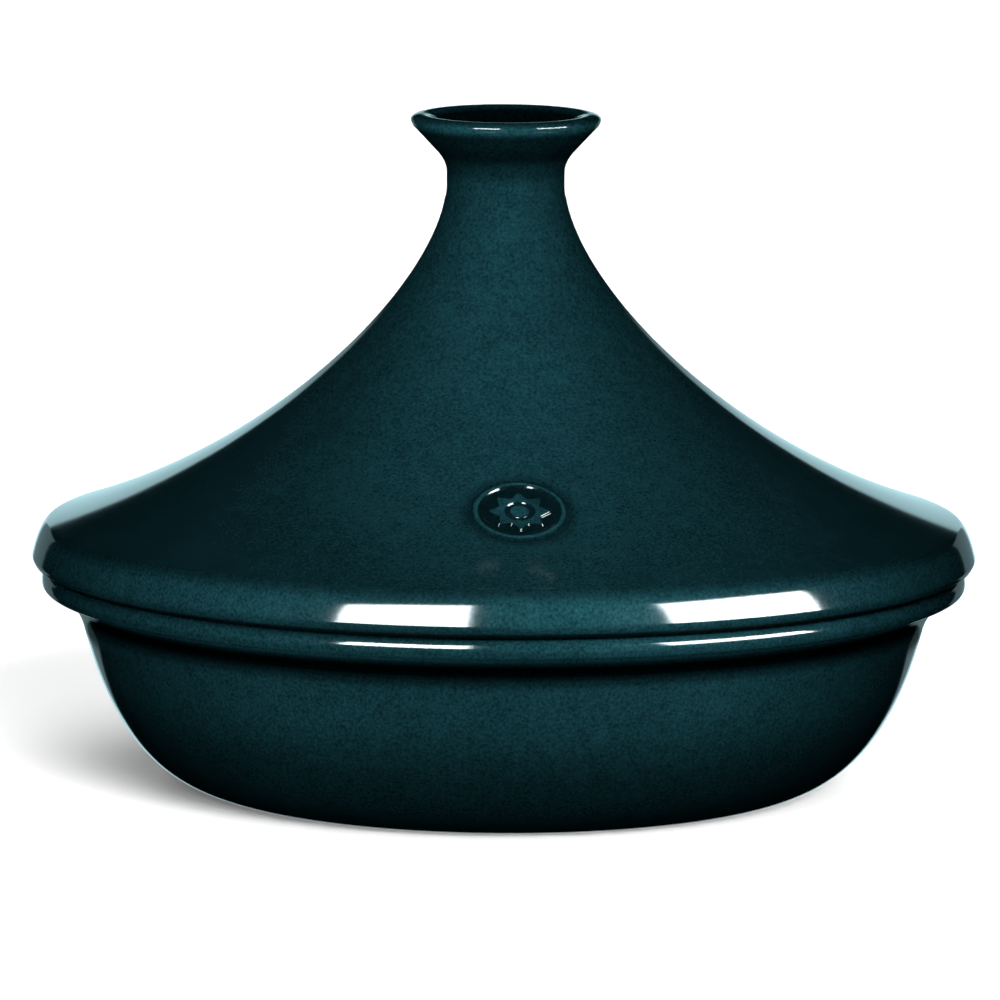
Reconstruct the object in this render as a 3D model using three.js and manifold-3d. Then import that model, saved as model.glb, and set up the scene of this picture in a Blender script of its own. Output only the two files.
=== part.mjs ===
// A tagine: a round glazed stoneware dish and the tall conical lid that rests on its rim.
// Millimetres, +Z up. The origin is the centre of the dish's foot, at table height.
// -Y is the front, where the round medallion on the lid faces.
import * as THREE from 'three';
import { mergeVertices } from 'three/addons/utils/BufferGeometryUtils.js';
import Module from 'manifold-3d';

// The dish.
const footRadius = 88; // outer edge of the ring it stands on
const footRingWidth = 9;
const footRecess = 2; // how far the underside is hollowed inside that ring
const bellyLean = 82; // the wall's outward lean where it leaves the foot, in degrees
const bellyPull = 6; // how strongly the curve holds that lean
const wallRadius = 142.9; // outside of the wall, where the rim's flange begins
const wallHeight = 55.3;
const wallLean = 14.3;
const wallPull = 62.5;
const dishWall = 8;
const floorHeight = 9; // inside the dish
const flangeReach = 4.8; // the flange's edge overhangs its underside by this much
const flangeDrop = 8.1;
const flangeLean = 58; // lean of the underside
const rimRadius = 157.4; // outer edge of the flange
const rimHeight = 75.3; // flat top of the flange, where the lid rests
const rimRound = 4.0; // roundness of the flange's upper edge
const ridgeInnerRadius = 137.4; // the ridge that keeps the lid from sliding off
const ridgeOuterRadius = 144.4;
const ridgeHeight = 4.6;
const ridgeRound = 2;

// The lid.
const seatGap = 0.3;
const skirtRadius = 160.7; // the widest place, just above the seat
const skirtHeight = 79.9;
const skirtLean = -12.8;
const skirtInnerRadius = 146.6;
const skirtInnerHeight = 6.2; // height of the skirt's upright inner face
const skirtRound = 1.2; // roundness of the edges it rests on
const noseUndercut = 3.2; // how far the widest place stands out past the seat's edge
const shoulderRadius = 155; // where the skirt turns into the cone
const shoulderHeight = 91.5;
const coneLean = -72.6; // lean of the cone at the shoulder
const conePull = 83.3;
const lidWall = 7.5;
const coneTopRadius = 20.6;
const coneTopHeight = 202;
const coneTopLean = -10;
const coneTopPull = 31.2;
const neckRadius = 20;
const neckTopHeight = 210.8; // where the cup starts to open out of the neck
const flareRise = 7.2; // height of the curve from the neck into the flare
const flareReach = 3.2;
const flareLean = 43; // lean of the cup's side
const flareLength = 10.6;
const cupRadius = 32.3;
const cupHeight = 229; // height of the cup's widest place
const crestRadius = 28.2; // highest line of the cup's lip
const lidHeight = 230.8;
const cupWall = 7.8;
const wellDepth = 16; // length of the well's sloping side
const wellFloor = 211.8;
const wellRound = 4;
const hollowCeiling = 203.5; // top of the hollow inside the neck

// The medallion on the front of the cone.
const medallionRadius = 15.8;
const medallionReach = 109.5; // its distance from the lid's axis
const medallionHeight = 110.6;
const medallionTilt = 28.3; // slope of the cone there, in degrees from level
const medallionRoot = 4; // how deep it is sunk into the wall
const beadWidth = 3;
const beadHeight = 1.2;
const fieldHeight = 0.3;
const starPoints = 8;
const starRadius = 10.5;
const starNotchRadius = 7.6;
const starRelief = 0.8;

// Fineness of the surfaces.
const sidesOfPot = 60;
const sidesOfMedallion = 24;
const longestStep = 16;
const fewestSteps = 2;

const dishGlaze = new THREE.MeshStandardMaterial({ color: 0x16414a, roughness: 0.16, metalness: 0 });
const lidGlaze = new THREE.MeshStandardMaterial({ color: 0x16414a, roughness: 0.16, metalness: 0 });

const wasm = await Module();
wasm.setup();

// Outlines. A point is a distance from the axis and a height.
const at = (radius, height) => new THREE.Vector2(radius, height);

// The point a distance up a line that leans outward by some degrees; a negative distance is down.
function along(from, lean, distance) {
  const angle = THREE.MathUtils.degToRad(lean);
  return at(from.x + Math.sin(angle) * distance, from.y + Math.cos(angle) * distance);
}

function sampled(curve) {
  const steps = Math.max(fewestSteps, Math.ceil(curve.getLength() / longestStep));
  return curve.getPoints(steps);
}

const bend = (from, corner, to) => sampled(new THREE.QuadraticBezierCurve(from, corner, to));
const sweep = (from, leave, arrive, to) => sampled(new THREE.CubicBezierCurve(from, leave, arrive, to));

// The inner face of a wall: the rising outer curve moved inward by the wall's thickness,
// from one fraction of its length to another.
function innerFace(curve, thickness, start, end) {
  const steps = Math.ceil((curve.getLength() * Math.abs(end - start)) / longestStep);
  const points = [];
  for (let step = 0; step <= steps; step += 1) {
    const fraction = start + ((end - start) * step) / steps;
    const point = curve.getPointAt(fraction);
    const tangent = curve.getTangentAt(fraction);
    points.push(at(point.x - tangent.y * thickness, point.y + tangent.x * thickness));
  }
  return points;
}

// Stretches laid end to end, with the points they share kept once.
function joined(...stretches) {
  const outline = [];
  for (const point of stretches.flat()) {
    const last = outline.at(-1);
    if (!last || last.distanceTo(point) > 0.01) {
      outline.push(point);
    }
  }
  return outline;
}

// The dish: from under its centre, out and up the wall, round the rim and back inside.
function dishOutline() {
  const recessEdge = footRadius - footRingWidth;
  const underside = [
    at(0, footRecess),
    at(recessEdge - footRecess * 2, footRecess),
    at(recessEdge, 0),
  ];

  const foot = at(footRadius, 0);
  const wallTop = at(wallRadius, wallHeight);
  const wall = new THREE.CubicBezierCurve(
    foot,
    along(foot, bellyLean, bellyPull),
    along(wallTop, wallLean, -wallPull),
    wallTop,
  );

  const turn = at(rimRadius - flangeReach, rimHeight - flangeDrop);
  const edge = at(rimRadius, rimHeight - rimRound);
  const pull = (rimRadius - turn.x) * 0.65;
  const flange = joined(
    sweep(wallTop, along(wallTop, wallLean, pull * 3), along(turn, flangeLean, -pull), turn),
    sweep(turn, along(turn, flangeLean, pull), at(edge.x, edge.y - pull), edge),
    bend(edge, at(rimRadius, rimHeight), at(rimRadius - rimRound, rimHeight)),
  );

  const ridgeTop = at((ridgeInnerRadius + ridgeOuterRadius) / 2, rimHeight + ridgeHeight);
  const ridgeFoot = at(ridgeOuterRadius, rimHeight);
  const ridgeEdge = at(ridgeInnerRadius, ridgeTop.y);
  const fillet = ridgeRound / 2;
  const ridge = joined(
    bend(at(ridgeFoot.x + fillet, rimHeight), ridgeFoot, at(ridgeFoot.x, rimHeight + fillet)),
    bend(at(ridgeFoot.x, ridgeTop.y - ridgeRound), at(ridgeFoot.x, ridgeTop.y), ridgeTop),
    bend(ridgeTop, ridgeEdge, at(ridgeEdge.x, ridgeEdge.y - ridgeRound)),
  );

  const inside = innerFace(wall, dishWall, 1, 0.3);
  const floorEdge = at(footRadius - 2, floorHeight);
  const floorCorner = at(footRadius + floorHeight, floorHeight);
  return joined(
    underside,
    sampled(wall),
    flange,
    ridge,
    inside,
    bend(inside.at(-1), floorCorner, floorEdge),
    [at(0, floorHeight)],
  );
}

// The lid: from the ceiling of its hollow, down inside, round the foot of the skirt,
// up the cone and the neck, over the cup's lip and down into the well.
function lidOutline() {
  const shoulder = at(shoulderRadius, shoulderHeight);
  const coneTop = at(coneTopRadius, coneTopHeight);
  const cone = new THREE.CubicBezierCurve(
    shoulder,
    along(shoulder, coneLean, conePull),
    along(coneTop, coneTopLean, -coneTopPull),
    coneTop,
  );

  const inside = innerFace(cone, lidWall, 1, 0.07);
  const ceiling = bend(at(0, hollowCeiling), at(inside[0].x, hollowCeiling), inside[0]);

  const seat = rimHeight + seatGap;
  const skirtTop = at(skirtInnerRadius, seat + skirtInnerHeight);
  const seatInner = at(skirtInnerRadius, seat);
  const seatOuter = at(skirtRadius - noseUndercut, seat);
  const seatOuterTop = at(seatOuter.x + skirtRound / 2, seat + skirtRound);
  const nose = at(skirtRadius, skirtHeight);
  const noseFoot = at(skirtRadius - 1, skirtHeight - skirtRound * 2);
  const skirt = joined(
    bend(inside.at(-1), at(skirtTop.x, skirtTop.y + lidWall / 2), skirtTop),
    bend(at(seatInner.x, seat + skirtRound), seatInner, at(seatInner.x + skirtRound, seat)),
    bend(at(seatOuter.x - skirtRound, seat), seatOuter, seatOuterTop),
    bend(noseFoot, at(skirtRadius, skirtHeight - skirtRound), nose),
    sweep(nose, along(nose, skirtLean, lidWall), along(shoulder, coneLean, -lidWall / 4), shoulder),
  );

  const neckFoot = at(neckRadius, (coneTopHeight + neckTopHeight) / 2);
  const neckTop = at(neckRadius, neckTopHeight);
  const flareFoot = at(neckRadius + flareReach, neckTopHeight + flareRise);
  const flareTop = along(flareFoot, flareLean, flareLength);
  const neck = joined(
    bend(coneTop, at(neckRadius, coneTopHeight + neckRadius - coneTopRadius + 2), neckFoot),
    bend(neckTop, at(neckRadius, neckTopHeight + flareRise / 2), flareFoot),
  );

  const widest = at(cupRadius, cupHeight);
  const crest = at(crestRadius, lidHeight);
  const roundness = 0.55; // makes a cubic curve follow a quarter of an ellipse
  const lip = joined(
    bend(flareTop, at(cupRadius, (flareTop.y + cupHeight) / 2), widest),
    sweep(
      widest,
      at(cupRadius, cupHeight + (lidHeight - cupHeight) * roundness),
      at(crestRadius + (cupRadius - crestRadius) * roundness, lidHeight),
      crest,
    ),
  );

  const wellSide = at(flareTop.x - cupWall, flareTop.y + cupWall / 3);
  const wellFoot = along(wellSide, flareLean, -wellDepth);
  const wellPull = cupWall / 4;
  const well = joined(
    sweep(crest, at(crestRadius - wellPull, lidHeight), along(wellSide, flareLean, wellPull), wellSide),
    bend(wellFoot, at(wellFoot.x - wellRound, wellFloor), at(wellFoot.x - wellRound * 2, wellFloor)),
  );

  return joined(ceiling, inside, skirt, sampled(cone), neck, lip, well, [at(0, wellFloor)]);
}

// Solids.
function turned(outline, sides) {
  return new THREE.LatheGeometry(outline, sides).rotateX(Math.PI / 2);
}

function solidFrom(geometry) {
  const plain = geometry.clone();
  plain.deleteAttribute('normal');
  plain.deleteAttribute('uv');
  const merged = mergeVertices(plain, 1e-4);
  const index = merged.index.array;
  const triangles = [];
  for (let first = 0; first < index.length; first += 3) {
    const [a, b, c] = index.slice(first, first + 3);
    if (a !== b && b !== c && c !== a) {
      triangles.push(a, b, c);
    }
  }
  return new wasm.Manifold(new wasm.Mesh({
    numProp: 3,
    vertProperties: new Float32Array(merged.attributes.position.array),
    triVerts: new Uint32Array(triangles),
  }));
}

function geometryFrom(solid) {
  const mesh = solid.getMesh();
  const geometry = new THREE.BufferGeometry();
  geometry.setAttribute('position', new THREE.BufferAttribute(mesh.vertProperties, 3));
  geometry.setIndex(new THREE.BufferAttribute(mesh.triVerts, 1));
  geometry.computeVertexNormals();
  return geometry;
}

// A shallow disc with a raised bead around a plain field.
function medallionDisc() {
  const beadTop = medallionRadius - beadWidth / 2;
  const beadFoot = beadTop - beadWidth / 2;
  const outline = joined(
    [at(0, -medallionRoot), at(medallionRadius - 1, -medallionRoot)],
    bend(at(medallionRadius, 0), at(medallionRadius, beadHeight), at(beadTop, beadHeight)),
    bend(at(beadTop, beadHeight), at(beadFoot, beadHeight), at(beadFoot, fieldHeight)),
    [at(0, fieldHeight)],
  );
  return turned(outline, sidesOfMedallion);
}

// An eight-pointed star that stands up from the field.
function medallionStar() {
  const shape = new THREE.Shape();
  for (let corner = 0; corner < starPoints * 2; corner += 1) {
    const angle = (corner * Math.PI) / starPoints;
    const radius = corner % 2 === 0 ? starRadius : starNotchRadius;
    if (corner === 0) {
      shape.moveTo(radius, 0);
    } else {
      shape.lineTo(radius * Math.cos(angle), radius * Math.sin(angle));
    }
  }
  shape.closePath();
  const root = medallionRoot / 2;
  const depth = root + fieldHeight + starRelief;
  return new THREE.ExtrudeGeometry(shape, { depth, bevelEnabled: false }).translate(0, 0, -root);
}

function placedOnCone(geometry) {
  return geometry
    .rotateX(THREE.MathUtils.degToRad(medallionTilt))
    .translate(0, -medallionReach, medallionHeight);
}

function baseDish() {
  const mesh = new THREE.Mesh(geometryFrom(solidFrom(turned(dishOutline(), sidesOfPot))), dishGlaze);
  mesh.name = 'base_dish';
  return mesh;
}

function lid() {
  const bell = solidFrom(turned(lidOutline(), sidesOfPot));
  const disc = solidFrom(placedOnCone(medallionDisc()));
  const star = solidFrom(placedOnCone(medallionStar()));
  const mesh = new THREE.Mesh(geometryFrom(bell.add(disc).add(star)), lidGlaze);
  mesh.name = 'lid';
  return mesh;
}

const tagine = new THREE.Group();
tagine.add(baseDish(), lid());

export default tagine;
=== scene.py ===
import math

import bmesh
import bpy
import numpy as np
from mathutils import Matrix, Vector


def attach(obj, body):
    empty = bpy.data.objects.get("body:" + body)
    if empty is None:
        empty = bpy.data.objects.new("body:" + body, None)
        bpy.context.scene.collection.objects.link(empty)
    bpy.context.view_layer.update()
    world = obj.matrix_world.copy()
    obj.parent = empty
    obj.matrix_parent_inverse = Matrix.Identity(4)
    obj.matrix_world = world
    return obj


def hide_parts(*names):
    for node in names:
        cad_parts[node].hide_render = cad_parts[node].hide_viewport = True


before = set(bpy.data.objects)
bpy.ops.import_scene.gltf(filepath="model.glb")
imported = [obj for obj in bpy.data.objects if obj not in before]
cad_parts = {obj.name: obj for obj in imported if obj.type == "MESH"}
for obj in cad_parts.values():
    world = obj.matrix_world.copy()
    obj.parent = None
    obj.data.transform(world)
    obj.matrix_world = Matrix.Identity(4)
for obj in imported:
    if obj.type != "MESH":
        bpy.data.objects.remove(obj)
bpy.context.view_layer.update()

# A tagine: a round glazed stoneware dish and its conical lid. Lengths here are millimetres in the
# CAD frame: the origin is under the centre of the foot, +Z is up and the medallion faces -Y.
MM = 0.001

# The dish.
FOOT_RADIUS = 88.0
FOOT_RING_WIDTH = 9.0
FOOT_RECESS = 2.0  # how far the underside is hollowed inside the ring
BELLY_LEAN, BELLY_PULL = 82.0, 6.0  # a curve's lean in degrees, and how strongly it holds it
WALL_TOP = (142.9, 55.3)
WALL_LEAN, WALL_PULL = 14.3, 62.5
DISH_WALL = 8.0
FLOOR_HEIGHT = 9.0  # inside the dish
FLANGE_REACH, FLANGE_DROP, FLANGE_LEAN = 4.8, 8.1, 58.0
RIM_RADIUS = 157.4
RIM_HEIGHT = 75.3
RIM_ROUND = 4.0
RIDGE_INNER_RADIUS = 137.4
RIDGE_OUTER_RADIUS = 144.4
RIDGE_HEIGHT = 4.6
RIDGE_ROUND = 2.0

# The lid.
SEAT_GAP = 0.3
SKIRT_RADIUS = 160.7
SKIRT_HEIGHT = 79.9
SKIRT_LEAN = -12.8
SKIRT_INNER_RADIUS = 146.6
SKIRT_INNER_HEIGHT = 6.2
SKIRT_ROUND = 1.2
NOSE_UNDERCUT = 3.2
SHOULDER = (155.0, 91.5)
CONE_LEAN, CONE_PULL = -72.6, 83.3
LID_WALL = 7.5
CONE_TOP = (20.6, 202.0)
CONE_TOP_LEAN, CONE_TOP_PULL = -10.0, 31.2
NECK_RADIUS = 20.0
NECK_TOP_HEIGHT = 210.8
FLARE_RISE, FLARE_REACH = 7.2, 3.2
FLARE_LEAN, FLARE_LENGTH = 43.0, 10.6
CUP_RADIUS = 32.3
CUP_HEIGHT = 229.0
CREST_RADIUS = 28.2
LID_HEIGHT = 230.8
CUP_WALL = 7.8
WELL_DEPTH = 16.0
WELL_FLOOR = 211.8
WELL_ROUND = 4.0
HOLLOW_CEILING = 203.5

# The medallion pressed into the front of the cone.
MEDALLION_REACH = 109.5
MEDALLION_HEIGHT = 110.6
MEDALLION_TILT = 28.3  # slope of the cone there, in degrees from level
WINDOW = 22.0  # half the side of the square of finer mesh that holds it
WINDOW_STEPS = 40
STAR_POINTS = 8
STAR_REACH, STAR_NOTCH = 10.6, 7.5  # radius at a point and at a notch
STAR_TOP, STAR_HUB = 0.56, 0.7  # heights above the cone
FIELD_HEIGHT = -0.44
BEAD_RADIUS = 14.6
BEAD_OUTER, BEAD_INNER = 2.0, 1.9  # how far the bead reaches either side of its top
BEAD_TOP, BEAD_FOOT = 0.7, -0.3
PRESS_LEAN, PRESS_TURN = 0.4, 150.0  # the relief stands prouder by this share towards this angle

# Mesh fineness.
SIDES = 236  # columns round the lid outside the medallion's window
DISH_SIDES = 256
CONE_ROW = 2.5


# ---------------------------------------------------------------- outlines

def along(start, lean, distance):
    """The point a distance up a line that leans outward by some degrees."""
    angle = math.radians(lean)
    return (start[0] + math.sin(angle) * distance, start[1] + math.cos(angle) * distance)


def bezier(points, count):
    """Evenly spaced points along a Bezier curve of any degree."""
    t = np.linspace(0, 1, 400)[:, None]
    layer = [np.array(p, float)[None, :] * np.ones_like(t) for p in points]
    while len(layer) > 1:
        layer = [a * (1 - t) + b * t for a, b in zip(layer, layer[1:])]
    return respaced(layer[0], np.linspace(0, 1, count + 1))


def run_along(points):
    """A polyline's length up to each of its points."""
    return np.concatenate([[0], np.cumsum(np.hypot(*np.diff(points, axis=0).T))])


def respaced(points, fractions):
    """Points at some fractions of a polyline's length."""
    points = np.asarray(points, float)
    run = run_along(points)
    where = np.asarray(fractions) * run[-1]
    return np.stack([np.interp(where, run, points[:, k]) for k in (0, 1)], axis=1)


def length_of(points):
    return float(np.hypot(*np.diff(np.asarray(points), axis=0).T).sum())


def curve(points, step):
    """A Bezier curve sampled at about one point per step."""
    rough = bezier(points, 60)
    return bezier(points, max(2, math.ceil(length_of(rough) / step)))


def straight(start, end, step):
    return curve([start, end], step)


def inward(points, thickness):
    """The rising outline moved inward by a wall's thickness."""
    tangent = np.gradient(points, axis=0)
    tangent /= np.hypot(*tangent.T)[:, None]
    return points + thickness * np.stack([-tangent[:, 1], tangent[:, 0]], axis=1)


def joined(*stretches):
    """Stretches laid end to end, with straight runs of a few millimetres between them filled in."""
    outline = [np.asarray(stretches[0], float)]
    for stretch in stretches[1:]:
        stretch = np.asarray(stretch, float)
        gap = float(np.hypot(*(stretch[0] - outline[-1][-1])))
        if gap < 0.01:
            stretch = stretch[1:]
        elif gap > 1.5:
            bridge = straight(outline[-1][-1], stretch[0], max(1.0, gap / 8))
            outline.append(bridge[1:-1])
        outline.append(stretch)
    return np.concatenate(outline)


def dish_outline():
    recess_edge = FOOT_RADIUS - FOOT_RING_WIDTH
    recess_foot = (recess_edge - 2 * FOOT_RECESS, FOOT_RECESS)
    foot = (FOOT_RADIUS, 0.0)
    leave, arrive = along(foot, BELLY_LEAN, BELLY_PULL), along(WALL_TOP, WALL_LEAN, -WALL_PULL)
    wall_points = [foot, leave, arrive, WALL_TOP]
    wall = curve(wall_points, 2.0)
    ring_edge = (FOOT_RADIUS - 0.6, 0.0)
    underside = joined(
        straight((0, FOOT_RECESS), recess_foot, 8),
        curve([recess_foot, (recess_foot[0] + 1.5, FOOT_RECESS), (recess_edge - 1.5, 0),
               (recess_edge + 0.5, 0)], 0.6),
        straight((recess_edge + 0.5, 0), ring_edge, 1.2),
        curve([ring_edge, foot, tuple(wall[1])], 0.4),
    )

    turn = (RIM_RADIUS - FLANGE_REACH, RIM_HEIGHT - FLANGE_DROP)
    edge = (RIM_RADIUS, RIM_HEIGHT - RIM_ROUND)
    pull = FLANGE_REACH * 0.65
    flange = joined(
        curve([WALL_TOP, along(WALL_TOP, WALL_LEAN, pull * 3), along(turn, FLANGE_LEAN, -pull), turn], 0.7),
        curve([turn, along(turn, FLANGE_LEAN, pull), (edge[0], edge[1] - pull), edge], 0.5),
        curve([edge, (RIM_RADIUS, RIM_HEIGHT), (RIM_RADIUS - RIM_ROUND, RIM_HEIGHT)], 0.3),
    )
    top = RIM_HEIGHT + RIDGE_HEIGHT
    ridge_top = ((RIDGE_INNER_RADIUS + RIDGE_OUTER_RADIUS) / 2, top)
    out, inner, fillet = RIDGE_OUTER_RADIUS, RIDGE_INNER_RADIUS, RIDGE_ROUND / 2
    ridge = joined(
        curve([(out + fillet, RIM_HEIGHT), (out, RIM_HEIGHT), (out, RIM_HEIGHT + fillet)], 0.3),
        curve([(out, top - RIDGE_ROUND), (out, top), ridge_top], 0.4),
        curve([ridge_top, (inner, top), (inner, top - RIDGE_ROUND)], 0.4),
    )
    # the inside leaves the wall's line low down, where the corner to the floor takes over
    inside = inward(bezier(wall_points, 46)[14:], DISH_WALL)[::-1]
    floor_edge = (FOOT_RADIUS - 2, FLOOR_HEIGHT)
    floor_corner = (FOOT_RADIUS + FLOOR_HEIGHT, FLOOR_HEIGHT)
    floor = curve([tuple(inside[-1]), floor_corner, floor_edge], 2.0)
    middle = straight(floor_edge, (0, FLOOR_HEIGHT), 7)
    return joined(underside, wall[1:], flange, ridge, inside, floor, middle)


def cone_curve():
    """The cone's outside from the shoulder to the neck, as a finely sampled line."""
    leave = along(SHOULDER, CONE_LEAN, CONE_PULL)
    arrive = along(CONE_TOP, CONE_TOP_LEAN, -CONE_TOP_PULL)
    return bezier([SHOULDER, leave, arrive, CONE_TOP], 1200)


def medallion_place(cone):
    """How far up the cone's outline the medallion's centre is, as a length."""
    gap = np.hypot(cone[:, 0] - MEDALLION_REACH, cone[:, 1] - MEDALLION_HEIGHT)
    return length_of(cone[: int(gap.argmin()) + 1])


def cone_rows(cone, centre):
    """The cone sampled coarsely, but finely across the medallion's window, and the window's first row."""
    total = length_of(cone)
    low, high = centre - WINDOW, centre + WINDOW
    stations = np.concatenate([
        np.linspace(0, low, 1 + math.ceil(low / CONE_ROW))[:-1],
        np.linspace(low, high, WINDOW_STEPS + 1),
        np.linspace(high, total, 1 + math.ceil((total - high) / CONE_ROW))[1:],
    ])
    first = math.ceil(low / CONE_ROW)
    return respaced(cone, stations / total), first


def lid_outline():
    """The outline, and the row where the medallion's window begins."""
    cone = cone_curve()
    rows, first = cone_rows(cone, medallion_place(cone))
    # the inside leaves the cone's line just above the shoulder, where the skirt takes over
    inside = inward(respaced(cone, np.linspace(0.07, 1, 44)), LID_WALL)[::-1]
    ceiling = curve([(0, HOLLOW_CEILING), (inside[0][0], HOLLOW_CEILING), tuple(inside[0])], 2.0)

    seat = RIM_HEIGHT + SEAT_GAP
    skirt_top = (SKIRT_INNER_RADIUS, seat + SKIRT_INNER_HEIGHT)
    seat_inner = (SKIRT_INNER_RADIUS, seat)
    seat_outer = (SKIRT_RADIUS - NOSE_UNDERCUT, seat)
    nose = (SKIRT_RADIUS, SKIRT_HEIGHT)
    nose_foot = (SKIRT_RADIUS - 1, SKIRT_HEIGHT - 2 * SKIRT_ROUND)
    skirt = joined(
        curve([tuple(inside[-1]), (skirt_top[0], skirt_top[1] + LID_WALL / 2), skirt_top], 1.2),
        curve([(seat_inner[0], seat + SKIRT_ROUND), seat_inner, (seat_inner[0] + SKIRT_ROUND, seat)], 0.3),
        curve([(seat_outer[0] - SKIRT_ROUND, seat), seat_outer,
               (seat_outer[0] + SKIRT_ROUND / 2, seat + SKIRT_ROUND)], 0.3),
        curve([nose_foot, (SKIRT_RADIUS, SKIRT_HEIGHT - SKIRT_ROUND), nose], 0.4),
        curve([nose, along(nose, SKIRT_LEAN, LID_WALL), along(SHOULDER, CONE_LEAN, -LID_WALL / 4),
               SHOULDER], 0.5),
    )

    neck_foot = (NECK_RADIUS, (CONE_TOP[1] + NECK_TOP_HEIGHT) / 2)
    neck_top = (NECK_RADIUS, NECK_TOP_HEIGHT)
    flare_foot = (NECK_RADIUS + FLARE_REACH, NECK_TOP_HEIGHT + FLARE_RISE)
    flare_top = along(flare_foot, FLARE_LEAN, FLARE_LENGTH)
    neck = joined(
        curve([CONE_TOP, (NECK_RADIUS, CONE_TOP[1] + NECK_RADIUS - CONE_TOP[0] + 2), neck_foot], 1.0),
        curve([neck_top, (NECK_RADIUS, NECK_TOP_HEIGHT + FLARE_RISE / 2), flare_foot], 0.6),
    )
    round_out = 0.55  # makes a cubic curve follow a quarter of an ellipse
    rise, reach = LID_HEIGHT - CUP_HEIGHT, CUP_RADIUS - CREST_RADIUS
    widest, crest = (CUP_RADIUS, CUP_HEIGHT), (CREST_RADIUS, LID_HEIGHT)
    lip = joined(
        curve([flare_top, (CUP_RADIUS, (flare_top[1] + CUP_HEIGHT) / 2), widest], 0.4),
        curve([widest, (CUP_RADIUS, CUP_HEIGHT + rise * round_out),
               (CREST_RADIUS + reach * round_out, LID_HEIGHT), crest], 0.4),
    )
    well_side = (flare_top[0] - CUP_WALL, flare_top[1] + CUP_WALL / 3)
    well_foot = along(well_side, FLARE_LEAN, -WELL_DEPTH)
    well_end = (well_foot[0] - 2 * WELL_ROUND, WELL_FLOOR)
    pull = CUP_WALL / 4
    well = joined(
        curve([crest, (CREST_RADIUS - pull, LID_HEIGHT), along(well_side, FLARE_LEAN, pull), well_side], 0.6),
        curve([well_foot, (well_foot[0] - WELL_ROUND, WELL_FLOOR), well_end], 1.0),
        straight(well_end, (0, WELL_FLOOR), 2),
    )
    below = joined(ceiling, inside, skirt)
    return joined(below, rows, neck, lip, well), len(below) - 1 + first


# ---------------------------------------------------------------- meshes

def lathe(outline, angles, hole=None):
    """Vertices and faces of a turned solid whose outline starts and ends on the axis.
    hole is (first row, last row, last column): the faces inside it are left out."""
    verts, faces = [], []
    columns = len(angles)
    index = np.full((len(outline), columns), -1)
    for row, (radius, height) in enumerate(outline):
        if radius < 0.01:
            index[row, :] = len(verts)
            verts.append((0.0, 0.0, height))
            continue
        for column, angle in enumerate(angles):
            if hole and hole[0] < row < hole[1] and 0 < column < hole[2]:
                continue
            index[row, column] = len(verts)
            verts.append((radius * math.sin(angle), -radius * math.cos(angle), height))
    for row in range(len(outline) - 1):
        for column in range(columns):
            after = (column + 1) % columns
            if hole and hole[0] <= row < hole[1] and column < hole[2]:
                continue
            ring = [index[row, column], index[row, after], index[row + 1, after], index[row + 1, column]]
            faces.append(list(dict.fromkeys(int(i) for i in ring)))
    return verts, faces, index


def placed(name, data):
    """A new object in the scene."""
    obj = bpy.data.objects.new(name, data)
    bpy.context.scene.collection.objects.link(obj)
    return obj


def build(name, verts, faces):
    mesh = bpy.data.meshes.new(name)
    bm = bmesh.new()
    made = [bm.verts.new((x * MM, y * MM, z * MM)) for x, y, z in verts]
    for face in faces:
        bm.faces.new([made[i] for i in face])
    bmesh.ops.recalc_face_normals(bm, faces=bm.faces)
    for face in bm.faces:
        face.smooth = True
    bm.to_mesh(mesh)
    bm.free()
    return placed(name, mesh)


def star_edge(angle):
    """Distance from the medallion's centre to the star's outline at an angle."""
    half = math.pi / STAR_POINTS
    turn = abs((angle + half) % (2 * half) - half)
    # a straight edge runs from a point at turn 0 to a notch at turn half
    x0, y0 = STAR_REACH, 0.0
    x1, y1 = STAR_NOTCH * math.cos(half), STAR_NOTCH * math.sin(half)
    dx, dy = math.cos(turn), math.sin(turn)
    across = (y1 - y0) * dx - (x1 - x0) * dy
    return (x0 * (y1 - y0) - y0 * (x1 - x0)) / across


def medallion_rings():
    """The medallion's relief from the outside in: how far each ring is from round (0) to star (1),
    its radius or its offset from the star's outline, and its height above the cone."""
    moat = [(0, 19.4, 0.0), (0, 18.8, -0.03), (0, 18.2, -0.1), (0, 17.6, -0.22), (0, 17.1, -0.29)]
    bead = [(0, radius, BEAD_FOOT + (BEAD_TOP - BEAD_FOOT) * (1 + math.cos(math.pi * part)) / 2)
            for radius, part in bead_steps()]
    field = [(0, 12.4, -0.42), (0.35, 11.8, FIELD_HEIGHT), (0.7, 11.3, FIELD_HEIGHT),
             (1, 0.5, FIELD_HEIGHT), (1, 0.25, -0.38), (1, 0.06, -0.18), (1, -0.1, 0.12),
             (1, -0.28, 0.38), (1, -0.5, 0.52), (1, -0.9, STAR_TOP), (1, -1.5, STAR_TOP)]
    middle = [(0, 5.6, STAR_TOP), (0, 5.3, 0.52), (0, 5.05, 0.38), (0, 4.85, 0.14), (0, 4.6, -0.02),
              (0, 4.3, -0.08), (0, 3.9, -0.08), (0, 3.6, -0.02), (0, 3.4, 0.16), (0, 3.2, 0.38),
              (0, 2.9, 0.52), (0, 2.4, 0.6), (0, 1.7, 0.66), (0, 0.9, 0.69)]
    return moat + bead + field + middle


def bead_steps():
    """Radii across the bead from its outer foot to its inner foot, with how far each is from its top."""
    outer = [(BEAD_RADIUS + BEAD_OUTER * part, part) for part in np.linspace(1, 0, 9)]
    inner = [(BEAD_RADIUS - BEAD_INNER * part, part) for part in np.linspace(0, 1, 8)[1:]]
    return outer + inner


def ring_radius(ring, angle):
    blend, size, _ = ring
    if blend == 0:
        return size
    if blend == 1:
        return star_edge(angle) + size
    return size * (1 - blend) + (star_edge(angle) + 0.9) * blend


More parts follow.
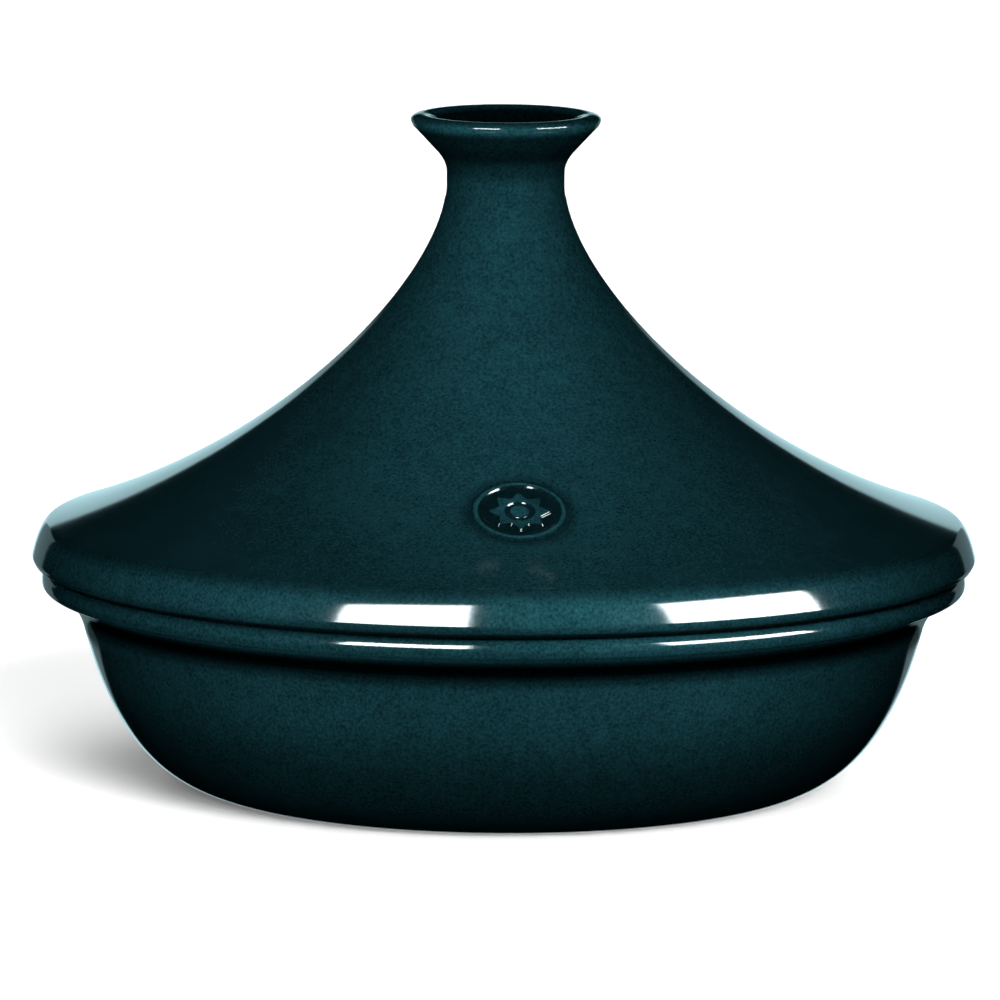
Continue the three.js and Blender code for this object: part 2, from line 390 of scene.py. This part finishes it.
def lid_mesh():
    outline, first = lid_outline()
    last = first + WINDOW_STEPS
    cone = cone_curve()
    centre = medallion_place(cone)
    run = run_along(cone)
    half_angle = WINDOW / MEDALLION_REACH
    window = np.linspace(-half_angle, half_angle, WINDOW_STEPS + 1)
    rest = np.linspace(half_angle, 2 * math.pi - half_angle, SIDES + 1)[1:-1]
    angles = np.concatenate([window, rest])
    verts, faces, index = lathe(outline, angles, hole=(first, last, WINDOW_STEPS))

    def on_cone(x, v, height):
        """The point x millimetres round and v up the cone from the medallion's centre."""
        where = centre + v
        radius, level = (np.interp(where, run, cone[:, k]) for k in (0, 1))
        ahead = [np.interp(where + 0.5, run, cone[:, k]) - np.interp(where - 0.5, run, cone[:, k])
                 for k in (0, 1)]
        size = math.hypot(*ahead)
        out, up = ahead[1] / size, -ahead[0] / size
        angle = x / radius
        radius += out * height
        return (radius * math.sin(angle), -radius * math.cos(angle), level + up * height)

    # the window's edge, anticlockwise from the middle of its +X side
    n, half = WINDOW_STEPS, WINDOW_STEPS // 2
    right = [(first + half + k, n) for k in range(half)]
    upper = [(last, n - k) for k in range(n)]
    left = [(last - k, 0) for k in range(n)]
    lower = [(first, k) for k in range(n)]
    right_below = [(first + k, n) for k in range(half)]
    edge = right + upper + left + lower + right_below
    count = len(edge)
    ring = [int(index[row, column]) for row, column in edge]
    spots = []
    for row, column in edge:
        radius, height = outline[row]
        along_cone = (row - first) * 2 * WINDOW / n - WINDOW
        spots.append((angles[column] * radius, along_cone))

    rings = medallion_rings()
    outer = rings[0]
    levels = [("blend", t) for t in (0.28, 0.52, 0.76)] + [("ring", r) for r in rings]
    for kind, what in levels:
        new = []
        for k in range(count):
            angle = 2 * math.pi * k / count
            if kind == "blend":
                x = spots[k][0] * (1 - what) + outer[1] * math.cos(angle) * what
                v = spots[k][1] * (1 - what) + outer[1] * math.sin(angle) * what
                height = 0.0
            else:
                radius = ring_radius(what, angle)
                x, v, height = radius * math.cos(angle), radius * math.sin(angle), what[2]
                if height > 0:
                    height *= 1 + PRESS_LEAN * max(0.0, math.cos(angle - math.radians(PRESS_TURN)))
            new.append(len(verts))
            verts.append(on_cone(x, v, height))
        for k in range(count):
            after = (k + 1) % count
            faces.append([ring[k], ring[after], new[after], new[k]])
        ring = new
    hub = len(verts)
    verts.append(on_cone(0, 0, STAR_HUB))
    for k in range(count):
        faces.append([ring[k], ring[(k + 1) % count], hub])
    return verts, faces


def dish_mesh():
    angles = np.linspace(0, 2 * math.pi, DISH_SIDES + 1)[:-1]
    verts, faces, _ = lathe(dish_outline(), angles)
    return verts, faces


# ---------------------------------------------------------------- glaze

DARK_TEAL = (0.0040, 0.0245, 0.0300)
LIGHT_TEAL = (0.0135, 0.0755, 0.0930)
DARK_CLAY = (0.36, 0.25, 0.17)
LIGHT_CLAY = (0.52, 0.40, 0.29)
CLAY_ROUGHNESS = 0.85
GLASS_IOR = 1.5
COAT_ROUGHNESS = 0.085
INSIDE_COAT = (0.6, 0.6, 0.6)

# Sizes of the glaze's marks in millimetres, and how strongly they change its tone.
GRAIN, GRAIN_STRENGTH = 0.5, 2.0
MOTTLE, MOTTLE_STRENGTH = 2.6, 0.6
CLOUD, CLOUD_STRENGTH = 16, 0.4
# The waviness left by the throwing, the orange peel and the pits: size and depth in millimetres.
SWELL, SWELL_DEPTH = 14, 0.10
PEEL, PEEL_DEPTH = 2.2, 0.009
PIT_DEPTH = 0.03

# How pale the pot is drawn: about 1 on a plain face; less where the glaze has gathered and in painted
# shade under edges and towards the foot; more where it breaks over an edge and in painted light on the
# band, the rim and the lip. The star and the bead are paler by painted light as well as thinner glaze.
GATHERED_AND_SHADED = 0.2
THICK_AND_SHADED = 0.6
PLAIN = 1.1
BREAKING_AND_LIT = 2.4
PROUD_AND_LIT = 3.6  # times paler on top of the star and the bead than beside them

SKIN_DEPTH = (-6.0, -3.0)  # from here to here inside its outline, the inside turns into the outside
WIDEST = 200.0  # no radius is larger


class Tree:
    """A short way to write a material's nodes."""

    def __init__(self, name):
        self.material = bpy.data.materials.new(name)
        self.material.use_nodes = True
        self.tree = self.material.node_tree
        self.tree.nodes.clear()

    def node(self, kind, **settings):
        made = self.tree.nodes.new(kind)
        for key, value in settings.items():
            setattr(made, key, value)
        return made

    def put(self, socket, value):
        if isinstance(value, bpy.types.NodeSocket):
            self.tree.links.new(value, socket)
        elif isinstance(value, tuple) and len(value) == 3 and socket.type == "RGBA":
            socket.default_value = (*value, 1)
        else:
            socket.default_value = value

    def math(self, operation, a, b=0.0, clamp=False):
        made = self.node("ShaderNodeMath", operation=operation, use_clamp=clamp)
        self.put(made.inputs[0], a)
        self.put(made.inputs[1], b)
        return made.outputs[0]

    def mix(self, factor, a, b, blend="MIX"):
        made = self.node("ShaderNodeMix", data_type="RGBA", blend_type=blend)
        self.put(made.inputs["Factor"], factor)
        self.put(made.inputs[6], a)
        self.put(made.inputs[7], b)
        return made.outputs[2]

    def noise(self, grain, detail, seed):
        """Noise whose blotches are about one grain, in millimetres, across."""
        made = self.node("ShaderNodeTexNoise", noise_dimensions="4D")
        self.put(made.inputs["Vector"], self.place)
        self.put(made.inputs["W"], seed)
        self.put(made.inputs["Scale"], 1.0 / (grain * 2 * MM))
        self.put(made.inputs["Detail"], detail)
        self.put(made.inputs["Roughness"], 0.5)
        return made.outputs["Fac"]

    def ramp(self, value, start, end, low=0.0, high=1.0):
        made = self.node("ShaderNodeMapRange", interpolation_type="SMOOTHSTEP")
        self.put(made.inputs["Value"], value)
        for name, number in (("From Min", start), ("From Max", end), ("To Min", low), ("To Max", high)):
            self.put(made.inputs[name], number)
        return made.outputs[0]

    def bump(self, height):
        """A normal from a height in millimetres."""
        made = self.node("ShaderNodeBump")
        made.inputs["Strength"].default_value = 1.0
        made.inputs["Distance"].default_value = MM
        self.put(made.inputs["Height"], height)
        return made.outputs[0]

    def surface(self, shader):
        """The finished material."""
        output = self.node("ShaderNodeOutputMaterial")
        self.tree.links.new(shader.outputs[0], output.inputs["Surface"])
        return self.material

    def curve(self, value, points, smooth=True):
        """A value read off a line through points, each one (value, result)."""
        low, high = points[0][0], points[-1][0]
        scaled = self.node("ShaderNodeMapRange")
        self.put(scaled.inputs["Value"], value)
        self.put(scaled.inputs["From Min"], low)
        self.put(scaled.inputs["From Max"], high)
        made = self.node("ShaderNodeValToRGB")
        line = made.color_ramp
        line.interpolation = "EASE" if smooth else "LINEAR"
        while len(line.elements) < len(points):
            line.elements.new(0.5)
        for element, (where, result) in zip(line.elements, points):
            element.position = (where - low) / (high - low)
            element.color = (result, result, result, 1)
        self.tree.links.new(scaled.outputs[0], made.inputs["Fac"])
        return made.outputs["Color"]


def outer_radii(outline, count=30):
    """The largest radius at evenly spaced heights, as (height, radius)."""
    heights = np.linspace(outline[:, 1].min(), outline[:, 1].max(), count)
    starts, ends = outline[:-1], outline[1:]
    radii = []
    for height in heights:
        inside = np.clip(height, heights[0] + 0.01, heights[-1] - 0.01)
        crossed = (starts[:, 1] - inside) * (ends[:, 1] - inside) <= 0
        a, b = starts[crossed], ends[crossed]
        rise = np.where(a[:, 1] == b[:, 1], 1.0, b[:, 1] - a[:, 1])
        radii.append(float((a[:, 0] + (b[:, 0] - a[:, 0]) * (inside - a[:, 1]) / rise).max()))
    return list(zip(heights, radii))


def glaze(name, outline, outside, inside, satin, gloss, clay_zone, painted_shading):
    """Speckled teal glaze over buff clay. outside, inside, satin and gloss are read against height in
    millimetres: how pale the pot is drawn on its outside and inside, which holds painted shade and painted
    light as well as the glaze's own tone, the roughness under its clear coat, and how much coat it has.
    clay_zone is (lowest, highest, inner radius, outer radius) of the bare ring it stands on. The last
    argument gives painted shade and painted light at one place of the pot, along with gathered glaze."""
    t = Tree(name)
    coordinates = t.node("ShaderNodeTexCoord")
    t.place = coordinates.outputs["Object"]
    axes = t.node("ShaderNodeSeparateXYZ")
    t.put(axes.inputs[0], t.place)
    height = t.math("MULTIPLY", axes.outputs["Z"], 1 / MM)
    across = t.math("MULTIPLY", axes.outputs["X"], axes.outputs["X"])
    deep = t.math("MULTIPLY", axes.outputs["Y"], axes.outputs["Y"])
    radius = t.math("MULTIPLY", t.math("SQRT", t.math("ADD", across, deep)), 1 / MM)
    skin_radius = t.math("MULTIPLY", t.curve(
        height, [(h, r / WIDEST) for h, r in outer_radii(outline)], smooth=False), WIDEST)
    outer = t.ramp(t.math("SUBTRACT", radius, skin_radius), *SKIN_DEPTH)

    clouds = t.noise(CLOUD, detail=3, seed=1.0)
    mottle = t.noise(MOTTLE, detail=2, seed=2.0)
    grain = t.noise(GRAIN, detail=1, seed=3.0)
    tone = t.math("MULTIPLY", t.math("SUBTRACT", grain, 0.5), GRAIN_STRENGTH)
    tone = t.math("ADD", tone, t.math("MULTIPLY", t.math("SUBTRACT", mottle, 0.5), MOTTLE_STRENGTH))
    tone = t.math("ADD", tone, t.math("MULTIPLY", t.math("SUBTRACT", clouds, 0.5), CLOUD_STRENGTH))
    tone = t.math("ADD", tone, 0.5, clamp=True)
    colour = t.mix(tone, DARK_TEAL, LIGHT_TEAL)

    # painted shade and painted light by height, together with the glaze's own tone
    shading_and_glaze_tone = t.mix(outer, t.curve(height, inside), t.curve(height, outside))
    colour = t.mix(1.0, colour, shading_and_glaze_tone, "MULTIPLY")
    # painted shade and painted light at one place of the pot, along with gathered glaze
    colour = t.mix(1.0, colour, painted_shading(t, axes, radius, height), "MULTIPLY")

    # bare clay
    wobble = t.math("MULTIPLY", t.math("SUBTRACT", t.noise(4, detail=3, seed=6.0), 0.5), 1.6)
    low, high, inner_edge, outer_edge = clay_zone
    place = t.math("ADD", radius, wobble)
    level = t.math("ADD", height, t.math("MULTIPLY", wobble, 0.2))
    bare = t.math("MULTIPLY", t.ramp(place, inner_edge - 0.4, inner_edge + 0.4),
                  t.ramp(place, outer_edge - 0.4, outer_edge + 0.4, 1, 0))
    bare = t.math("MULTIPLY", bare, t.ramp(level, low - 0.15, low + 0.15))
    bare = t.math("MULTIPLY", bare, t.ramp(level, high - 0.15, high + 0.15, 1, 0))
    clay = t.mix(t.noise(1.4, detail=4, seed=7.0), DARK_CLAY, LIGHT_CLAY)
    colour = t.mix(bare, colour, clay)

    rough = t.curve(height, satin)
    rough = t.math("ADD", rough, t.math("MULTIPLY", t.math("SUBTRACT", mottle, 0.5), 0.1))
    rough = t.math("MAXIMUM", rough, t.math("MULTIPLY", bare, CLAY_ROUGHNESS), clamp=True)
    shine = t.mix(outer, INSIDE_COAT, t.curve(height, gloss))
    coat = t.math("MULTIPLY", shine, t.math("SUBTRACT", 1.0, bare), clamp=True)

    # orange peel, a slow waviness left by the throwing, and grain in the satin parts
    swell = t.math("MULTIPLY", t.noise(SWELL, detail=1, seed=8.0), SWELL_DEPTH)
    peel = t.math("MULTIPLY", t.noise(PEEL, detail=1, seed=9.0), PEEL_DEPTH)
    skin = t.bump(t.math("ADD", swell, peel))
    pitted = t.bump(t.math("ADD", t.math("ADD", swell, peel), t.math("MULTIPLY", grain, PIT_DEPTH)))

    shader = t.node("ShaderNodeBsdfPrincipled")
    t.put(shader.inputs["Base Color"], colour)
    t.put(shader.inputs["Roughness"], rough)
    t.put(shader.inputs["Normal"], pitted)
    t.put(shader.inputs["Coat Weight"], coat)
    t.put(shader.inputs["Coat Normal"], skin)
    shader.inputs["Coat Roughness"].default_value = COAT_ROUGHNESS
    shader.inputs["Coat IOR"].default_value = GLASS_IOR
    shader.inputs["IOR"].default_value = GLASS_IOR
    shader.inputs["Specular IOR Level"].default_value = 0.0
    return t.surface(shader)


def flange_painted_shadow(t, axes, radius, height):
    """Painted shadow: dark in the groove where the wall runs up under the flange, where the flange's shadow
    falls.
    """
    groove = (WALL_TOP[0] + 4.0, WALL_TOP[1] + 7.5)
    out = t.math("SUBTRACT", radius, groove[0])
    up = t.math("SUBTRACT", height, groove[1])
    gap = t.math("SQRT", t.math("ADD", t.math("MULTIPLY", out, out), t.math("MULTIPLY", up, up)))
    return t.curve(gap, [(0, 0.02), (2.0, 0.05), (3.4, 0.2), (5.4, 0.5), (8.0, 0.95), (9.0, 1.0)])


def medallion_bend():
    """How far the cone's outline rises from its tangent at the medallion, per square millimetre."""
    reach = 10
    cone = cone_curve()
    run = run_along(cone)
    centre = medallion_place(cone)
    low, here, high = (np.array([np.interp(centre + step, run, cone[:, k]) for k in (0, 1)])
                       for step in (-reach, 0, reach))
    return float(np.hypot(*((low + high) / 2 - here))) / reach**2


def medallion_shade_and_light(t, axes, radius, height):
    """Painted shade on the medallion's recessed field and the moat round it, along with glaze gathered
    there, and painted light on what stands proud, along with glaze thinning there. Shader lengths here are
    metres, except reach and lift."""
    slope = math.radians(MEDALLION_TILT)
    forward = t.math("ADD", axes.outputs["Y"], MEDALLION_REACH * MM)
    upward = t.math("SUBTRACT", axes.outputs["Z"], MEDALLION_HEIGHT * MM)
    v = t.math("ADD", t.math("MULTIPLY", forward, math.cos(slope)),
               t.math("MULTIPLY", upward, math.sin(slope)))
    depth = t.math("SUBTRACT", t.math("MULTIPLY", upward, math.cos(slope)),
                   t.math("MULTIPLY", forward, math.sin(slope)))
    across = t.math("MULTIPLY", axes.outputs["X"], axes.outputs["X"])
    square = t.math("ADD", across, t.math("MULTIPLY", v, v))
    reach = t.math("MULTIPLY", t.math("SQRT", square), 1 / MM)
    # painted shade: darkest in the recessed field and the moat
    field = t.curve(reach, [(0, 0.4), (11.8, 0.25), (13.0, 0.25), (14.6, 0.38), (15.8, 0.5), (16.8, 0.4),
                            (18.2, 0.6), (20.5, 0.9), (22.5, 1.0)])
    # the height above the cone itself, whose outline bends up and whose round falls away to the sides
    lift = t.math("MULTIPLY", depth, 1 / MM)
    lift = t.math("SUBTRACT", lift, t.math("MULTIPLY", t.math("MULTIPLY", v, v), medallion_bend() / MM**2))
    round_fall = math.sin(slope) / (2 * MEDALLION_REACH)
    lift = t.math("ADD", lift, t.math("MULTIPLY", across, round_fall / MM**2))
    lift = t.math("MULTIPLY", lift, t.math("LESS_THAN", reach, BEAD_RADIUS + BEAD_OUTER))
    # painted light: paler on what stands proud
    shading_and_glaze_tone = t.curve(lift, [(-0.4, 1.0), (0.1, 1.0), (0.5, PROUD_AND_LIT), (1.0, PROUD_AND_LIT)])
    shade = t.math("MULTIPLY", field, shading_and_glaze_tone)
    # only on the front of the cone, and not on its inside
    outside = t.math("MULTIPLY", t.ramp(depth, -0.004, -0.0035), t.ramp(forward, 0.03, 0.028, 0, 1))
    return t.mix(outside, (1.0, 1.0, 1.0), shade)


seat_height = RIM_HEIGHT + SEAT_GAP

dish = build("dish_body", *dish_mesh())
dish.data.materials.append(glaze(
    "dish_glaze_finish", dish_outline(),
    # painted shade and painted light: darker towards the foot, paler up the wall and on the rim's face
    outside=[(0, THICK_AND_SHADED), (20, 0.9), (WALL_TOP[1] - 7, 1.8), (WALL_TOP[1] + 10, 1.5),
             (RIM_HEIGHT - 7, BREAKING_AND_LIT), (RIM_HEIGHT - 5, 1.6), (RIM_HEIGHT - 3, BREAKING_AND_LIT),
             (RIM_HEIGHT, BREAKING_AND_LIT)],
    inside=[(0, 0.8), (RIM_HEIGHT, 0.8)],
    satin=[(0, 0.52), (50, 0.48), (61, 0.4), (RIM_HEIGHT, 0.4)],
    gloss=[(0, 1.0), (50, 1.0), (56, 0.2), (66, 0.2), (70, 0.7), (72, 1.0), (RIM_HEIGHT, 1.0)],
    clay_zone=(-2, 0.3, FOOT_RADIUS - FOOT_RING_WIDTH + 1, FOOT_RADIUS - 1.2),
    painted_shading=flange_painted_shadow,
))
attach(dish, "dish")
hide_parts("base_dish")

lid = build("lid_body", *lid_mesh())
lid.data.materials.append(glaze(
    "lid_glaze_finish", lid_outline()[0],
    # painted shade in the seam under the nose, under the cup's flare and under the lip; painted light on the
    # skirt band and the lip's top
    outside=[(seat_height, 0.1), (SKIRT_HEIGHT - 3, 0.3), (SKIRT_HEIGHT - 2, 1.5),
             (SKIRT_HEIGHT + 2, BREAKING_AND_LIT), (SKIRT_HEIGHT + 6, BREAKING_AND_LIT), (SHOULDER[1], 0.9),
             (MEDALLION_HEIGHT + 10, PLAIN),
             (CONE_TOP[1] - 12, 1.4), (CONE_TOP[1] + 5, 1.2), (NECK_TOP_HEIGHT + 2, THICK_AND_SHADED),
             (NECK_TOP_HEIGHT + FLARE_RISE, GATHERED_AND_SHADED), (CUP_HEIGHT - 4, 0.3), (CUP_HEIGHT, 2.2),
             (LID_HEIGHT, BREAKING_AND_LIT)],
    # the knob's well is drawn darker: painted shade
    inside=[(seat_height, 0.8), (HOLLOW_CEILING, 0.8), (WELL_FLOOR, 0.5), (LID_HEIGHT, 0.5)],
    satin=[(seat_height, 0.45), (145, 0.5), (175, 0.65), (215, 0.65), (LID_HEIGHT, 0.45)],
    gloss=[(seat_height, 0.0), (77.5, 0.1), (79, 1.0), (118, 1.0), (150, 0.35), (168, 0.0), (226.5, 0.0),
           (228.3, 0.8), (LID_HEIGHT, 0.8)],
    clay_zone=(RIM_HEIGHT - 1, seat_height + 0.2, SKIRT_INNER_RADIUS + 1.6, SKIRT_INNER_RADIUS + 6.5),
    painted_shading=medallion_shade_and_light,
))
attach(lid, "lid")
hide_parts("lid")


# ---------------------------------------------------------------- studio

STUDIO_TURN = -2.7  # degrees: the camera stands a little to the medallion's left
BAND = 0.081  # height of the skirt, in metres


def studio(x, y, z):
    """A place in the studio, whose own -Y is where the camera stands, in the CAD frame."""
    return Matrix.Rotation(math.radians(STUDIO_TURN), 4, "Z") @ Vector((x, y, z))


def only(obj, diffuse=False, glossy=False, camera=False, shadow=True):
    """Lets an object be seen by some kinds of ray and no others."""
    obj.visible_camera = camera
    obj.visible_diffuse = diffuse
    obj.visible_glossy = glossy
    obj.visible_transmission = False
    obj.visible_volume_scatter = False
    obj.visible_shadow = shadow


def panel(name, place, towards, width, height, radiance, tint=(1.0, 1.0, 1.0), **seen_by):
    """A rectangular light of one radiance all over, upright unless it looks up or down."""
    data = bpy.data.lights.new(name, "AREA")
    data.shape = "RECTANGLE"
    data.size, data.size_y = width, height
    data.energy = radiance * math.pi * width * height
    data.color = tint
    obj = placed(name, data)
    start, end = studio(*place), studio(*towards)
    obj.location = start
    obj.rotation_euler = (end - start).to_track_quat("-Z", "Y").to_euler()
    only(obj, **seen_by)
    return obj


def sun(name, azimuth, elevation, spread, strength):
    """Light from afar, at degrees from the camera's side towards +X and above level."""
    data = bpy.data.lights.new(name, "SUN")
    data.energy = strength
    data.angle = math.radians(spread)
    obj = placed(name, data)
    turn, rise = math.radians(azimuth), math.radians(elevation)
    flat = math.cos(rise)
    source = studio(math.sin(turn) * flat, -math.cos(turn) * flat, math.sin(rise))
    obj.rotation_euler = source.to_track_quat("Z", "Y").to_euler()
    only(obj, diffuse=True)
    return obj


def softbox(name, middle, towards, width, height):
    """A light that only shows as a reflection in the glaze, with a wider, dimmer edge just behind it."""
    panel(name, middle, towards, width, height, WINDOW_LIGHT, tint=WINDOW_TINT, glossy=True)
    behind = [m + (m - e) * 0.01 for m, e in zip(middle, towards)]
    panel(name + "_edge", behind, towards, width * 1.06, height * 1.08, EDGE_LIGHT,
          tint=EDGE_TINT, glossy=True)


# Two windows of light in front. Their measures are shares of how far away they are, in metres.
FAR = 1.5
WINDOW_LIGHT, WINDOW_TINT = 30.0, (0.95, 1.0, 1.0)
EDGE_LIGHT, EDGE_TINT = 5.0, (0.7, 0.95, 1.0)
WINDOW_FOOT = 0.13
LEFT_TOP, LEFT_MIDDLE, LEFT_WIDTH = 0.70, -0.485, 0.68
RIGHT_TOP, RIGHT_MIDDLE, RIGHT_WIDTH = 0.585, 0.2925, 0.795
RIGHT_TURN = 45  # degrees that the right one is turned round the pot

window_low = BAND + WINDOW_FOOT * FAR
left_high = BAND + LEFT_TOP * FAR
left_middle = (window_low + left_high) / 2
softbox("softbox_left", (LEFT_MIDDLE * FAR, -FAR, left_middle), (LEFT_MIDDLE * FAR, 0, left_middle),
        LEFT_WIDTH * FAR, left_high - window_low)

right_high = BAND + RIGHT_TOP * FAR
right_middle = (window_low + right_high) / 2
facing = math.radians(RIGHT_TURN)
sideways = RIGHT_MIDDLE * FAR
right_x = math.sin(facing) * FAR + math.cos(facing) * sideways
right_y = -math.cos(facing) * FAR + math.sin(facing) * sideways
softbox("softbox_right", (right_x, right_y, right_middle),
        (right_x - math.sin(facing), right_y + math.cos(facing), right_middle),
        RIGHT_WIDTH * FAR, right_high - window_low)

# The pale wall behind, seen along the flanks: bright in the middle, dimmer to the sides.
BACK = 2.0
BACK_LOW, BACK_RISE = -0.55, 10.6  # its foot in metres, and its top in degrees above the band
GLOW_TINT = (0.58, 0.92, 1.0)
GLOW, SIDE_GLOW = 1.1, 0.3
GLOW_EDGES = (16, 32)  # degrees to each side

back_high = BAND + BACK * math.tan(math.radians(BACK_RISE))
back_middle = (BACK_LOW + back_high) / 2
inner_edge, outer_edge = (BACK * math.tan(math.radians(angle)) for angle in GLOW_EDGES)
panel("glow_back", (0, BACK, back_middle), (0, 0, back_middle), 2 * inner_edge, back_high - BACK_LOW,
      GLOW, tint=GLOW_TINT, glossy=True)
for side, name in ((-1, "left"), (1, "right")):
    middle = side * (inner_edge + outer_edge) / 2
    panel(f"glow_side_{name}", (middle, BACK, back_middle), (middle, 0, back_middle),
          outer_edge - inner_edge, back_high - BACK_LOW, SIDE_GLOW, tint=GLOW_TINT, glossy=True)

# Small lights close by that model the form: place, side, and strength as irradiance at one metre.
FORM_MIDDLE = (0, 0, 0.12)
for name, place, side, strength in [
    ("key", (0.12, -0.26, 0.14), 0.06, 0.030), ("bowl", (0.12, -0.34, 0.02), 0.10, 0.040),
    ("neck", (0.00, -0.16, 0.22), 0.06, 0.025), ("left", (-0.20, -0.24, 0.12), 0.06, 0.015),
    ("left_low", (-0.12, -0.26, 0.02), 0.06, 0.015), ("left_high", (-0.06, -0.22, 0.26), 0.06, 0.013),
]:
    panel(f"modelling_{name}", place, FORM_MIDDLE, side, side, strength / side**2, diffuse=True)

# These look up from just above the knob, so they light only a raised lid.
LIFT_LIGHT_HEIGHT = LID_HEIGHT * MM + 0.01
LIFT_LIGHT_SIDE, LIFT_LIGHT = 0.2, 18.0
for name, x in (("left", -0.20), ("right", 0.20)):
    panel(f"raised_lid_{name}", (x, -0.50, LIFT_LIGHT_HEIGHT), (x, -0.50, LIFT_LIGHT_HEIGHT + 1),
          LIFT_LIGHT_SIDE, LIFT_LIGHT_SIDE, LIFT_LIGHT, diffuse=True)

# These fill in the pot's back.
REAR_SIDE, REAR_LIGHT = 0.3, 2.2
for name, x in (("left", -0.30), ("right", 0.30)):
    panel(f"rear_fill_{name}", (x, 0.50, 0.40), (0, 0, 0.1), REAR_SIDE, REAR_SIDE, REAR_LIGHT,
          diffuse=True)

floor_lights = [sun("floor_light_low", 20, 15, 30, 9.5), sun("floor_light_high", 10, 75, 60, 1.7)]


FLOOR_RADIUS, FLOOR_LEVEL = 9.0, -0.0001
PAPER, PAPER_GLOW = 0.93, 0.12
BACKDROP_RADIUS, BACKDROP_LIGHT = 10.0, 1.05
AIR_LIGHT, AIR_TINT = 0.02, (0.8, 0.93, 1.0)


def disc(name, radius, height, material):
    """A round stage surface of rings and spokes."""
    rings, spokes = 24, 96
    verts = [(0.0, 0.0, height)]
    for ring in range(1, rings + 1):
        reach = radius * (ring / rings) ** 2
        for spoke in range(spokes):
            angle = 2 * math.pi * spoke / spokes
            verts.append((reach * math.cos(angle), reach * math.sin(angle), height))
    faces = [[0, 1 + s, 1 + (s + 1) % spokes] for s in range(spokes)]
    for ring in range(rings - 1):
        a, b = 1 + ring * spokes, 1 + (ring + 1) * spokes
        faces += [[a + s, b + s, b + (s + 1) % spokes, a + (s + 1) % spokes] for s in range(spokes)]
    mesh = bpy.data.meshes.new(name)
    mesh.from_pydata(verts, [], faces)
    mesh.materials.append(material)
    obj = placed(name, mesh)
    return obj


def floor_material():
    t = Tree("floor_paper")
    shader = t.node("ShaderNodeBsdfPrincipled")
    shader.inputs["Base Color"].default_value = (PAPER, PAPER, PAPER, 1)
    shader.inputs["Roughness"].default_value = 1.0
    shader.inputs["Specular IOR Level"].default_value = 0.0
    shader.inputs["Emission Color"].default_value = (1, 1, 1, 1)
    shader.inputs["Emission Strength"].default_value = PAPER_GLOW
    return t.surface(shader)


floor = disc("floor", FLOOR_RADIUS, FLOOR_LEVEL, floor_material())
only(floor, camera=True)
on_floor = bpy.data.collections.new("lit_by_floor_light")
on_floor.objects.link(floor)
for light in floor_lights:
    light.light_linking.receiver_collection = on_floor


def backdrop():
    """A white dome that only the camera sees."""
    t = Tree("backdrop_white")
    shader = t.node("ShaderNodeEmission")
    shader.inputs["Strength"].default_value = BACKDROP_LIGHT
    material = t.surface(shader)
    mesh = bpy.data.meshes.new("backdrop")
    bm = bmesh.new()
    bmesh.ops.create_uvsphere(bm, u_segments=48, v_segments=24, radius=BACKDROP_RADIUS)
    bm.to_mesh(mesh)
    bm.free()
    mesh.materials.append(material)
    obj = placed("backdrop", mesh)
    only(obj, camera=True, shadow=False)


backdrop()

world = bpy.data.worlds.new("studio_air")
world.use_nodes = True
world.node_tree.nodes["Background"].inputs["Color"].default_value = (*AIR_TINT, 1)
world.node_tree.nodes["Background"].inputs["Strength"].default_value = AIR_LIGHT
bpy.context.scene.world = world
world.cycles_visibility.glossy = False
bpy.context.scene.view_settings.view_transform = "Standard"
bpy.context.scene.view_settings.look = "None"

CAMERA_PLACE = (-0.001375, -3.700, 0.64866)
CAMERA_DROP, CAMERA_ROLL = 8.4605, 0.289  # degrees below level, and round the line of sight
CAMERA_LENS, CAMERA_SENSOR = 395.14, 36.0  # millimetres

camera_data = bpy.data.cameras.new("camera")
camera_data.lens = CAMERA_LENS
camera_data.sensor_width = CAMERA_SENSOR
camera_data.clip_start, camera_data.clip_end = 0.1, 40.0
camera = placed("camera", camera_data)
turned = (
    Matrix.Rotation(math.radians(STUDIO_TURN), 4, "Z")
    @ Matrix.Rotation(math.radians(90 - CAMERA_DROP), 4, "X")
    @ Matrix.Rotation(math.radians(CAMERA_ROLL), 4, "Z")
)
camera.matrix_world = Matrix.Translation(studio(*CAMERA_PLACE)) @ turned
bpy.context.scene.camera = camera
